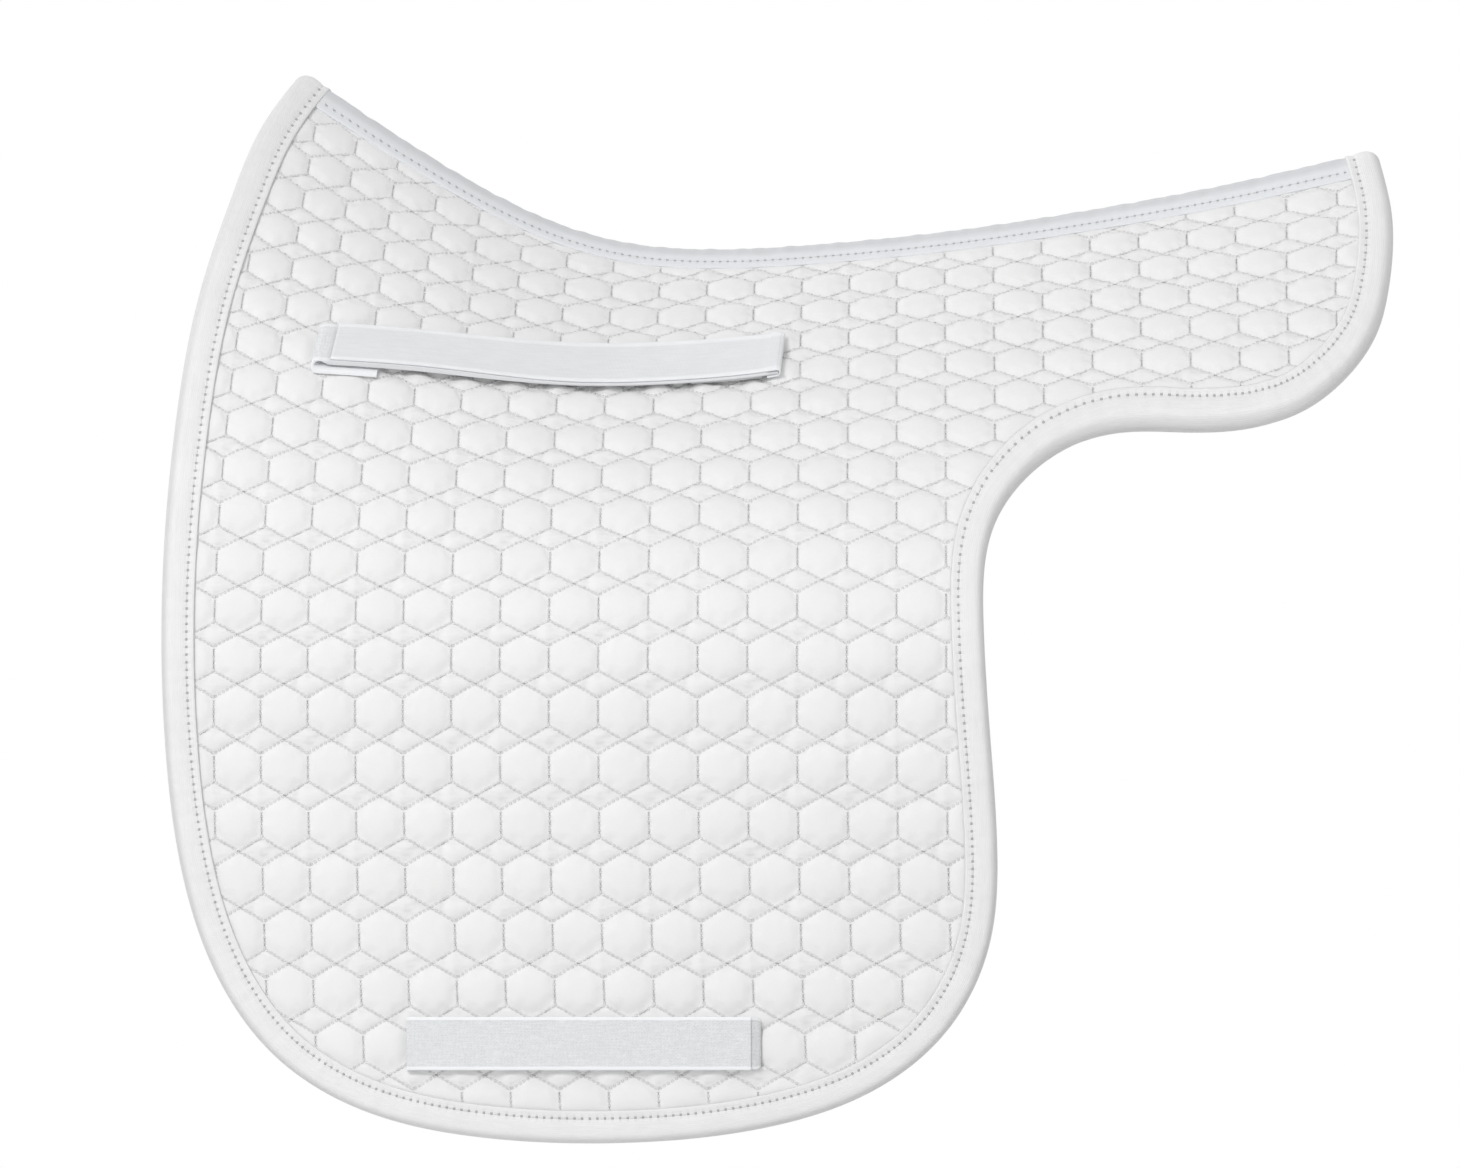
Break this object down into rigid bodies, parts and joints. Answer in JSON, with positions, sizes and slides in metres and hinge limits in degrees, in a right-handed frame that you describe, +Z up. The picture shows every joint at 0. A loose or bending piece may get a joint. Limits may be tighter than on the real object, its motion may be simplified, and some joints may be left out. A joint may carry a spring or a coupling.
{
  "type": "saddle pad",
  "caption": "Quilted white dressage saddle pad with bound edges, a spine tape, and a billet strap and a girth strap on each side.",
  "frame": {"origin": "underside of the spine at the lowest point of the seat, where the pad rests on the horse's back", "axes": "+X towards the horse's tail, +Y to its right side, +Z up; the left side, with -Y outwards, is the near side"},
  "size_m": [0.706, 0.5312, 0.6222],
  "materials": {
    "quilt_cotton": "quilted woven cotton, matte",
    "wadding": "foam and fibre wadding, matte",
    "lining_cotton": "smooth woven lining, matte",
    "binding_tape": "ribbed woven tape, matte",
    "spine_tape": "woven tape, slight sheen",
    "webbing": "woven webbing, matte",
    "face_tape": "fine ribbed tape, slight sheen",
    "touch_close": "touch-close patch, matte"
  },
  "bodies": {
    "panel": {"front_binding": "binding_tape", "left_billet_fold": "webbing", "left_billet_loop_patch": "touch_close", "left_billet_tab": "webbing", "left_lining": "lining_cotton", "left_outer_cover": "quilt_cotton", "left_wadding": "wadding", "rear_binding": "binding_tape", "right_billet_fold": "webbing", "right_billet_loop_patch": "touch_close", "right_billet_tab": "webbing", "right_lining": "lining_cotton", "right_outer_cover": "quilt_cotton", "right_wadding": "wadding", "spine_lining_tape": "binding_tape", "spine_tape": "spine_tape"},
    "left_flap": {"left_flap_binding": "binding_tape", "left_flap_cover": "quilt_cotton", "left_flap_lining": "lining_cotton", "left_flap_wadding": "wadding", "left_girth_base": "webbing", "left_girth_fold": "webbing", "left_girth_loop_patch": "touch_close"},
    "left_billet_strap": {"left_billet_end_hem": "webbing", "left_billet_face_tape": "face_tape", "left_billet_hook_patch": "touch_close", "left_billet_webbing": "webbing"},
    "left_girth_strap": {"left_girth_hook_patch": "touch_close", "left_girth_webbing": "webbing"},
    "right_flap": {"right_flap_binding": "binding_tape", "right_flap_cover": "quilt_cotton", "right_flap_lining": "lining_cotton", "right_flap_wadding": "wadding", "right_girth_base": "webbing", "right_girth_fold": "webbing", "right_girth_loop_patch": "touch_close"},
    "right_billet_strap": {"right_billet_end_hem": "webbing", "right_billet_face_tape": "face_tape", "right_billet_hook_patch": "touch_close", "right_billet_webbing": "webbing"},
    "right_girth_strap": {"right_girth_hook_patch": "touch_close", "right_girth_webbing": "webbing"}
  },
  "joints": [
    {"name": "left_flap_lift", "type": "hinge", "parent": "panel", "child": "left_flap", "pos_m": [0, -0.2617, -0.24424], "axis": [-1, 0, 0], "range_deg": [0, 120]},
    {"name": "left_billet_strap_open", "type": "hinge", "parent": "panel", "child": "left_billet_strap", "pos_m": [-0.216, -0.17919, -0.04213], "axis": [0, -0.6427, -0.7662], "range_deg": [0, 150], "deforming": ["left_billet_fold"]},
    {"name": "left_girth_strap_open", "type": "hinge", "parent": "left_flap", "child": "left_girth_strap", "pos_m": [0.0385, -0.2628, -0.44874], "axis": [0, 0, 1], "range_deg": [0, 150], "deforming": ["left_girth_fold"]},
    {"name": "right_flap_lift", "type": "hinge", "parent": "panel", "child": "right_flap", "pos_m": [0, 0.2617, -0.24424], "axis": [1, 0, 0], "range_deg": [0, 120]},
    {"name": "right_billet_strap_open", "type": "hinge", "parent": "panel", "child": "right_billet_strap", "pos_m": [-0.216, 0.17919, -0.04213], "axis": [0, -0.6427, 0.7662], "range_deg": [0, 150], "deforming": ["right_billet_fold"]},
    {"name": "right_girth_strap_open", "type": "hinge", "parent": "right_flap", "child": "right_girth_strap", "pos_m": [0.0385, 0.2628, -0.44874], "axis": [0, 0, -1], "range_deg": [0, 150], "deforming": ["right_girth_fold"]}
  ]
}
